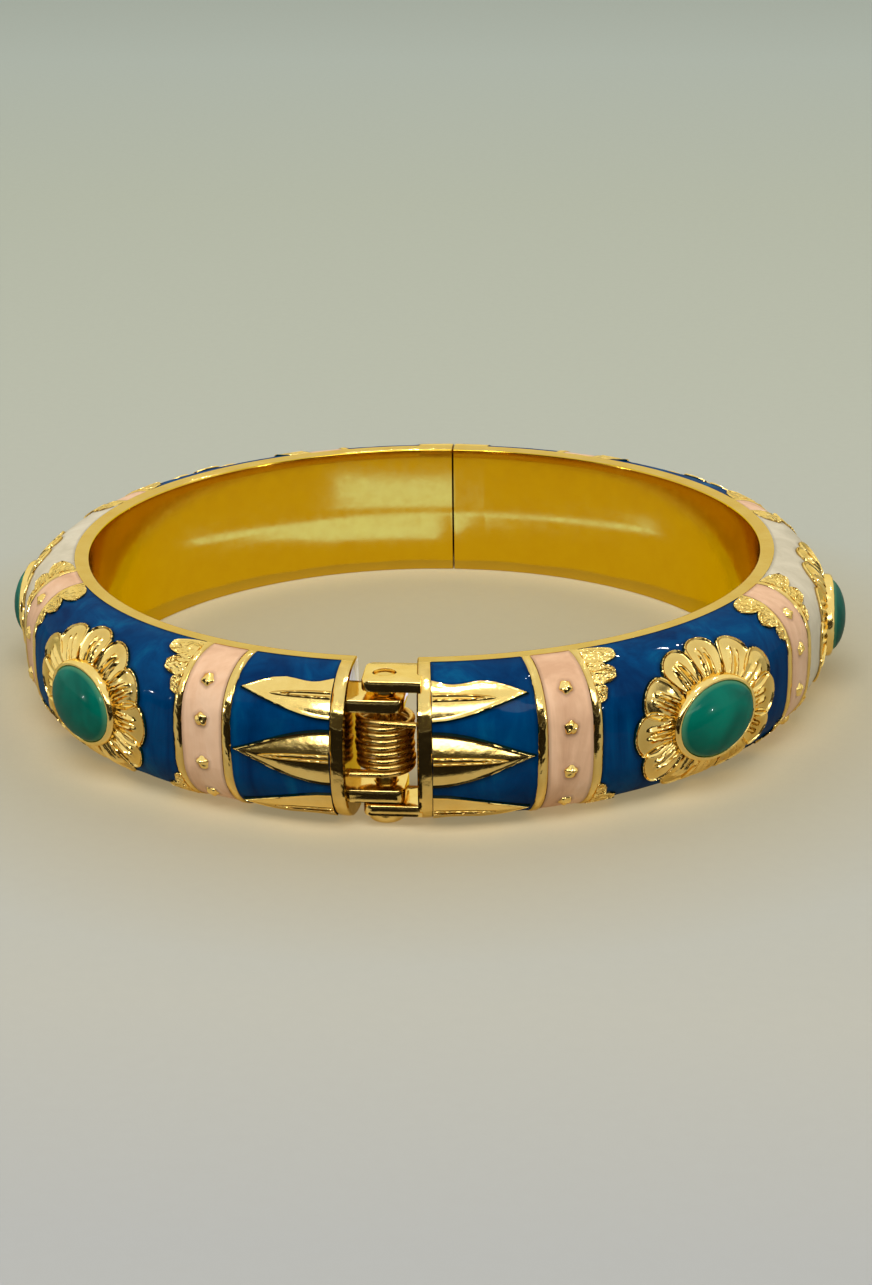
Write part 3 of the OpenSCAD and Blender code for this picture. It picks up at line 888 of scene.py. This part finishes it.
class Graph:
    """Short names for building a node tree."""

    def __init__(self, tree, space):
        self.tree = tree
        self.place = self.add("ShaderNodeTexCoord").outputs[space]

    def put(self, socket, value):
        """Links a socket, or sets the value that stands on it."""
        if isinstance(value, bpy.types.NodeSocket):
            self.tree.links.new(value, socket)
        else:
            socket.default_value = value

    def add(self, kind, inputs=None, **settings):
        node = self.tree.nodes.new(kind)
        for key, value in settings.items():
            setattr(node, key, value)
        for key, value in (inputs or {}).items():
            self.put(node.inputs[key], value)
        return node

    def maths(self, operation, a, b=0.0):
        return self.add("ShaderNodeMath", {0: a, 1: b}, operation=operation).outputs[0]

    def blend(self, fac, a, b, how="MIX"):
        """Mixes two colours."""
        a, b = [(*part, 1) if isinstance(part, tuple) else part for part in (a, b)]
        settings = {"data_type": "RGBA", "blend_type": how}
        return self.add("ShaderNodeMix", {0: fac, 6: a, 7: b}, **settings).outputs[2]

    def span(self, value, low, high, to_low=0.0, to_high=1.0, how="LINEAR"):
        inputs = {"Value": value, "From Min": low, "From Max": high}
        inputs.update({"To Min": to_low, "To Max": to_high})
        return self.add("ShaderNodeMapRange", inputs, interpolation_type=how).outputs["Result"]


class Nodes(Graph):
    """A material's node tree round its Principled shader."""

    def __init__(self, name):
        self.material = bpy.data.materials.new(name)
        self.material.use_nodes = True
        super().__init__(self.material.node_tree, "Object")
        self.shader = self.tree.nodes["Principled BSDF"]

    def noise(self, scale, detail=3.0, roughness=0.5, stretch=None, distortion=0.0):
        vector = self.place
        if stretch:
            vector = self.add("ShaderNodeMapping", {"Vector": vector, "Scale": stretch}).outputs[0]
        inputs = {"Vector": vector, "Scale": scale, "Detail": detail, "Roughness": roughness}
        inputs["Distortion"] = distortion
        return self.add("ShaderNodeTexNoise", inputs).outputs["Fac"]

    def attribute(self, name):
        return self.add("ShaderNodeAttribute", attribute_name=name).outputs["Fac"]

    def ramp(self, fac, stops):
        node = self.add("ShaderNodeValToRGB", {"Fac": fac})
        elements = node.color_ramp.elements
        while len(elements) < len(stops):
            elements.new(0.5)
        for element, (position, colour) in zip(elements, stops):
            element.position = position
            element.color = (*colour, 1)
        return node.outputs["Color"]

    def bump(self, height, distance, strength=1.0, normal=None):
        inputs = {"Height": height, "Distance": distance, "Strength": strength}
        if normal is not None:
            inputs["Normal"] = normal
        return self.add("ShaderNodeBump", inputs).outputs["Normal"]

    def set(self, **values):
        """Sets the shader's sockets, whose names have _ for a space here."""
        for key, value in values.items():
            socket = self.shader.inputs[key.replace("_", " ")]
            self.put(socket, (*value, 1) if isinstance(value, tuple) else value)
        return self.material


def gold(name, light, dark, hammered=0.0, wavy=1.0, cast=0.7, dull=0.0):
    """Polished cast gold plating, with painted shade: a little darker and duller in its recesses."""
    n = Nodes(name)
    relief = n.attribute("relief")
    # Painted shade: the lower a point's relief, the more its colour is mixed towards dark brown, as
    # shade in recesses.
    painted_recess_shade = n.span(relief, -0.12, 0.08, 1.0, 0.0)
    tint = n.ramp(n.noise(420, 4, 0.6), [(0.3, dark), (0.7, light)])
    colour = n.blend(painted_recess_shade, tint, (0.34, 0.2, 0.04))
    least = 0.09 + 0.05 * hammered + dull
    rough = n.span(n.noise(900, 3, 0.6), 0.3, 0.75, least, least + 0.08 + 0.07 * hammered)
    wave = n.noise(650, 2, 0.5)
    normal = n.bump(wave, 0.00006 + 0.00022 * hammered, wavy * (0.45 + 0.4 * hammered))
    if hammered:
        pits = n.add("ShaderNodeTexVoronoi", {"Vector": n.place, "Scale": 2400}).outputs["Distance"]
        normal = n.bump(pits, 0.00012, 0.7 * hammered, normal)
    normal = n.bump(n.noise(2600, 5, 0.62), 0.00002, 0.35 * wavy, normal)
    if cast:
        normal = n.bump(relief, cast * MM, 1.0, normal)
        normal = n.bump(n.attribute("crown"), MM, 1.0, normal)
    return n.set(
        Base_Color=colour, Metallic=1.0, Roughness=rough, Normal=normal,
        Specular_Tint=(0.97, 0.84, 0.5 * wavy),
    )


# What enamel and stones share: only their clear coat mirrors
LACQUER = {"Coat_Roughness": 0.03, "IOR": 1.5, "Specular_IOR_Level": 0.0}


def enamel_material(name, dark, middle, light, streak=1.0):
    """Glossy enamel with brushed streaks, a drawn-up edge and a slightly uneven surface."""
    n = Nodes(name)
    edge = n.attribute("edge")
    streaks = n.noise(240, 5, 0.62, stretch=(1.0, 1.0, 0.22), distortion=0.6)
    cloud = n.noise(150, 3, 0.55, distortion=0.4)
    base = n.ramp(streaks, [(0.32, dark), (0.52, middle), (0.72, light)])
    base = n.blend(n.span(cloud, 0.35, 0.7, 0.0, 0.55 * streak), base, dark)
    rim = n.span(edge, 0.0, 0.28, 0.55, 0.0)
    colour = n.blend(rim, base, tuple(0.55 * c for c in dark))
    normal = n.bump(n.noise(420, 3, 0.55, distortion=0.2), 0.00022, 0.45)
    brushed = n.noise(900, 4, 0.6, stretch=(1.0, 1.0, 0.3))
    normal = n.bump(brushed, 0.00006, 0.5, normal)
    climb = n.span(edge, 0.0, 0.16, 1.0, 0.0)
    normal = n.bump(climb, 0.00005, 0.8, normal)
    rough = n.span(streaks, 0.3, 0.7, 0.16, 0.26)
    return n.set(Base_Color=colour, Roughness=rough, Normal=normal, Coat_Weight=0.1, **LACQUER)


def stone_material():
    """Teal green glass, deeper in the middle, with painted light making it paler at its rim."""
    n = Nodes("green_glass")
    cloud = n.noise(170, 3, 0.5, distortion=0.8)
    deep = n.ramp(cloud, [
        (0.3, (0.0, 0.06, 0.042)), (0.55, (0.0, 0.1, 0.074)), (0.75, (0.0, 0.17, 0.12)),
    ])
    # Painted light: near the girdle the colour turns pale, standing in for light entering the stone
    # and its reflection there.
    rim = n.span(n.attribute("relief"), 0.92, 1.0, 0.0, 0.8)
    colour = n.blend(rim, deep, (0.08, 0.24, 0.13))
    normal = n.bump(n.noise(300, 2, 0.4), 0.0001, 0.12)
    return n.set(
        Base_Color=colour, Roughness=0.2, Normal=normal, Coat_Weight=0.13,
        Transmission_Weight=0.1, **LACQUER,
    )


gold_light, gold_dark = (0.97, 0.74, 0.29), (0.88, 0.61, 0.19)
gold_polished = gold("gold_polished", gold_light, gold_dark)
gold_hammered = gold("gold_hammered", gold_light, gold_dark, hammered=1.0)
# Painted reflection: the inner wall gets a deeper orange copy of the gold with almost no blue,
# standing in for the gold mirroring itself inside the band.
gold_inside_painted_tint = gold("gold_inside_painted_tint", (0.97, 0.66, 0.045), (0.92, 0.6, 0.04), wavy=0.1, cast=0.0)
spring_gold = gold("gold_wire", (0.97, 0.7, 0.26), (0.9, 0.56, 0.15), hammered=0.2, dull=0.13)
blue = enamel_material("blue_enamel", (0.0, 0.018, 0.08), (0.0, 0.045, 0.15), (0.001, 0.1, 0.23))
pink = enamel_material("pink_enamel", (0.54, 0.32, 0.2), (0.7, 0.45, 0.3), (0.79, 0.57, 0.42), 0.8)
white = enamel_material("white_enamel", (0.47, 0.42, 0.32), (0.57, 0.51, 0.4), (0.64, 0.59, 0.48), 0.5)
glass = stone_material()
enamels = {"leaf": blue, "blue": blue, "pink": pink, "white": white}


# The two halves

def field_name(kind, number):
    if kind == "white":
        return "white_enamel"
    if kind == "pink":
        pinks = [i for i, field in enumerate(fields) if field[0] == "pink"]
        return f"pink_enamel_{1 + pinks.index(number)}"
    end = "back" if number > len(fields) // 2 else "front"
    return f"{end}_{kind}_enamel"


def dress_half(body, side):
    """The cast metal, enamel and stones of one half."""
    form, outlines = cast_half(side)
    piece = form.build(f"{body}_cast", body, "gold", [gold_polished, gold_hammered, gold_inside_painted_tint])
    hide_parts(f"{body}_half")
    for number, field in enumerate(fields):
        kind = field[0]
        node = f"{body}_{field_name(kind, number)}"
        slot_name = "blue_enamel" if kind == "leaf" else f"{kind}_enamel"
        sheet = enamel(node + "_sheet", side, field, outlines[number], body, slot_name, enamels[kind])
        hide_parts(node)
    places = (("front", front_flower_a), ("side", 90), ("back", 180 - front_flower_a))
    for place, angle in places:
        node = f"{body}_{place}_stone"
        gem = stone(node + "_dome", side, angle, body, glass)
        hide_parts(node)


dress_half("left", -1)
dress_half("right", 1)
pin(gold_polished)
spring(spring_gold)


# Floor, light and camera; lengths are in metres from here on where MM isn't named

MATT = {"Roughness": 0.9, "Specular_IOR_Level": 0.0}
# The floor's colour from the front to far behind the bangle
FLOOR_COLOURS = [
    (0.02, (0.36, 0.366, 0.375)), (0.07, (0.404, 0.4, 0.37)), (0.12, (0.4, 0.4, 0.368)),
    (0.375, (0.43, 0.45, 0.396)), (0.61, (0.46, 0.49, 0.43)), (0.97, (0.51, 0.56, 0.53)),
]


def floor_material():
    """A plain pale surface, greener far behind the bangle, with painted light near the bangle: a
    warmer tint and a glow, standing in for light the gold casts on it.
    """
    n = Nodes("pale_floor")
    depth = n.add("ShaderNodeSeparateXYZ", {"Vector": n.place}).outputs["Y"]
    colour = n.ramp(n.span(depth, -0.1, 0.45), FLOOR_COLOURS)
    grain = n.noise(900, 4, 0.6)
    colour = n.blend(n.span(grain, 0.3, 0.7, 0.0, 0.08), colour, (0.33, 0.32, 0.3))
    away = n.add("ShaderNodeVectorMath", {0: n.place}, operation="LENGTH").outputs["Value"]
    # Painted light: the colour is tinted warmer within reach of the bangle, standing in for light the
    # gold casts onto the floor.
    warm = n.span(away, 0.033, 0.056, 1.0, 0.0)
    colour = n.blend(warm, colour, (0.98, 0.86, 0.66), "MULTIPLY")
    # Painted light: the floor glows where the bangle hems it in, standing in for light the gold casts
    # back into its shade.
    open_sky = n.add("ShaderNodeAmbientOcclusion", {"Distance": 0.008}, samples=6).outputs["AO"]
    painted_bounce_glow = n.span(open_sky, 0.3, 0.72, 0.27, 0.0)
    normal = n.bump(grain, 0.00003, 0.25)
    return n.set(
        Base_Color=colour, Normal=normal, Emission_Strength=painted_bounce_glow,
        Emission_Color=(1.0, 0.78, 0.42), **MATT,
    )


def box_corners(x0, y0, x1, y1):
    return [(x0, y0), (x1, y0), (x1, y1), (x0, y1)]


def stage_plane(name, corners, z, material):
    """A flat sheet with corners in metres, at a height."""
    mesh = bpy.data.meshes.new(name)
    mesh.from_pydata([(x, y, z) for x, y in corners], [], [tuple(range(len(corners)))])
    mesh.materials.append(material)
    obj = bpy.data.objects.new(name, mesh)
    bpy.context.scene.collection.objects.link(obj)
    return obj


stage_plane("floor", box_corners(-3, -3, 3, 3), 0, floor_material())


def painted_reflection_material(name, colour, glow=0.0):
    """A card's colour, which it gives off itself where it glows; a glowing card is a painted
    highlight, no lamp.
    """
    n = Nodes(name)
    lit = (0.0, 0.0, 0.0) if glow else colour
    return n.set(Base_Color=lit, Emission_Strength=glow, Emission_Color=colour, **MATT)


def painted_reflection_card(name, corners, material, height=0.0002):
    """A card on the floor that only the polished metal mirrors, with corners in mm: a painted
    reflection.
    """
    card = stage_plane(name, [(x * MM, y * MM) for x, y in corners], height, material)
    for rays in ("camera", "diffuse", "transmission", "shadow"):
        setattr(card, "visible_" + rays, False)


def lay_painted_reflections():
    """Painted reflections: dark cards in front of the bangle, a warm glowing one inside it and two
    pale glowing ones that paint highlights on the inner wall.
    """
    dark = painted_reflection_material("painted_dark_reflection", (0.012, 0.01, 0.008))
    pale = painted_reflection_material("painted_highlight_glow", (0.9, 1.2, 3.2), 1.0)
    hollow = painted_reflection_material("painted_hollow_reflection", (0.68, 0.54, 0.06), 1.0)
    # Painted dark reflections, which the metal mirrors in front of the bangle and under the hinge and
    # pin
    painted_reflection_card("painted_dark_reflection", box_corners(-250, -300, 250, -41.5), dark)
    painted_reflection_card("painted_dark_reflection_hinge", box_corners(-3, -41.5, 2.4, -36.2), dark)
    painted_reflection_card("painted_dark_reflection_pin", box_corners(-2.5, -34.8, 2.5, -33.7), dark)
    # A painted reflection of a lit floor inside the band, and painted highlights for the inner wall
    hollow_r = inner_r - 2
    ring = [(hollow_r * math.cos(turn), hollow_r * math.sin(turn)) for turn in full_turn(24)[0]]
    painted_reflection_card("painted_hollow_reflection", ring, hollow, 0.0001)
    painted_reflection_card("painted_highlight_front", [(13.8, -5.5), (4.5, 6.5), (-2.2, 6.7), (-3.8, -7.6)], pale)
    painted_reflection_card("painted_highlight_back", [
        (-1.9, 11), (-0.3, 12.2), (-1.2, 14.5), (-1.1, 17.6), (-1.5, 20.5), (-6, 19), (-4.5, 15.5),
    ], pale)


lay_painted_reflections()

sky_colour = (0.56, 0.56, 0.49)
room_colour = (0.035, 0.03, 0.02)
window_colour = (3.5, 3.4, 3.0)
backdrop_colour = (0.49, 0.51, 0.41)
strip_gain = 3.0
mirrored_gain = 0.65


def studio_world():
    """Pale soft surroundings, with a darker room and a window that only the metal mirrors."""
    world = bpy.data.worlds.new("studio")
    bpy.context.scene.world = world
    world.use_nodes = True
    n = Graph(world.node_tree, "Generated")
    parts = n.add("ShaderNodeSeparateXYZ", {0: n.place}).outputs
    paths = n.add("ShaderNodeLightPath").outputs
    height, glossy = parts["Z"], paths["Is Glossy Ray"]
    ahead = n.maths("MULTIPLY", parts["Y"], -1.0)
    across = n.maths("DIVIDE", parts["X"], n.maths("MAXIMUM", ahead, 0.01))

    def rising(value, low, high):
        return n.span(value, low, high, how="SMOOTHSTEP")

    def falling(value, low, high):
        return n.maths("SUBTRACT", 1.0, rising(value, low, high))

    def product(first, *others):
        for other in others:
            first = n.maths("MULTIPLY", first, other)
        return first

    room = product(rising(ahead, 0.1, 0.6), falling(height, 0.37, 0.44), glossy)
    window = product(
        rising(height, 0.43, 0.46), falling(height, 0.58, 0.62), rising(across, -0.48, -0.42),
        falling(across, 0.95, 1.15), rising(ahead, 0.1, 0.12), glossy,
        n.maths("LESS_THAN", paths["Glossy Depth"], 1.5),
    )
    strip = product(rising(across, -0.46, -0.43), falling(across, -0.33, -0.3))
    gain = n.maths("ADD", 1.0, product(strip, strip_gain))
    pane = n.add("ShaderNodeVectorMath", {0: window_colour, "Scale": gain}, operation="SCALE")
    glow = n.blend(window, n.blend(room, sky_colour, room_colour), pane.outputs[0])
    background = n.tree.nodes["Background"].inputs
    n.put(background["Color"], n.blend(paths["Is Camera Ray"], glow, backdrop_colour))
    n.put(background["Strength"], n.maths("ADD", 1.0, product(glossy, mirrored_gain)))


def soft_light(name, place, size, power, colour, mirrored=False):
    """A square lamp that faces the bangle's foot."""
    light = bpy.data.lights.new(name, "AREA")
    light.shape = "SQUARE"
    light.size = size
    light.energy = power
    light.color = colour
    obj = bpy.data.objects.new(name, light)
    obj.location = place
    obj.rotation_euler = (-Vector(place)).to_track_quat("-Z", "Y").to_euler()
    obj.visible_glossy = mirrored
    bpy.context.scene.collection.objects.link(obj)
    return obj


studio_world()
soft_light("key", (0.0, -0.35, 0.65), 0.45, 5.0, (1.0, 0.97, 0.91))
# The photograph's view: azimuth, elevation and distance of the camera, and where its axis
# meets the 872 x 1285 picture
view_azimuth = math.radians(5.76)
view_elevation = math.radians(19.38)
view_roll = 0.0143
view_distance = 0.2202
focal_px = 2493.4
picture_w, picture_h = 872, 1285
axis_x, axis_y = 425.1, 606.8
sensor = 36.0


def direction(azimuth, elevation):
    """Unit vector from the bangle, with the azimuth in radians from the front to the right."""
    flat = math.cos(elevation)
    return Vector((math.sin(azimuth) * flat, -math.cos(azimuth) * flat, math.sin(elevation)))


def make_camera():
    """The camera that took the photograph, as fitted to it."""
    camera = bpy.data.cameras.new("camera")
    camera.sensor_fit = "AUTO"
    camera.sensor_width = sensor
    camera.lens = focal_px / picture_h * sensor
    camera.shift_x = (picture_w / 2 - axis_x) / picture_h
    camera.shift_y = (axis_y - picture_h / 2) / picture_h
    camera.clip_start, camera.clip_end = 0.01, 20
    obj = bpy.data.objects.new("camera", camera)
    back = direction(view_azimuth, view_elevation)
    right = Vector((math.cos(view_azimuth), math.sin(view_azimuth), 0))
    up = back.cross(right)
    rolled_up = up * math.cos(view_roll) + right * math.sin(view_roll)
    rolled_right = right * math.cos(view_roll) - up * math.sin(view_roll)
    turn = Matrix((rolled_right, rolled_up, back)).transposed()
    place = Vector((0, 0, half_h * MM)) + back * view_distance
    obj.matrix_world = Matrix.Translation(place) @ turn.to_4x4()
    bpy.context.scene.collection.objects.link(obj)
    bpy.context.scene.camera = obj


glint_distance, glint_size, glint_power = 0.8, 0.014, 0.45


def glint_lamp(name, facing_azimuth, facing_elevation):
    """A small lamp that polished surfaces facing this way mirror to the camera."""
    facing = direction(math.radians(facing_azimuth), math.radians(facing_elevation))
    view = direction(view_azimuth, view_elevation)
    mirrored_way = 2 * facing.dot(view) * facing - view
    place = tuple(mirrored_way * glint_distance)
    lamp = soft_light(name, place, glint_size, glint_power, (1.0, 0.98, 0.95), mirrored=True)
    lamp.visible_diffuse = False


# Where the photograph shows white specks: azimuth and elevation that the surface faces
GLINTS = [(7.3, 54.5), (8.2, 54.5), (15, 54.5), (46, 60), (36.6, 15), (-34, 15)]

make_camera()
for number, facing in enumerate(GLINTS):
    glint_lamp(f"lamp_{number}", *facing)
bpy.context.scene.view_settings.view_transform = "Standard"
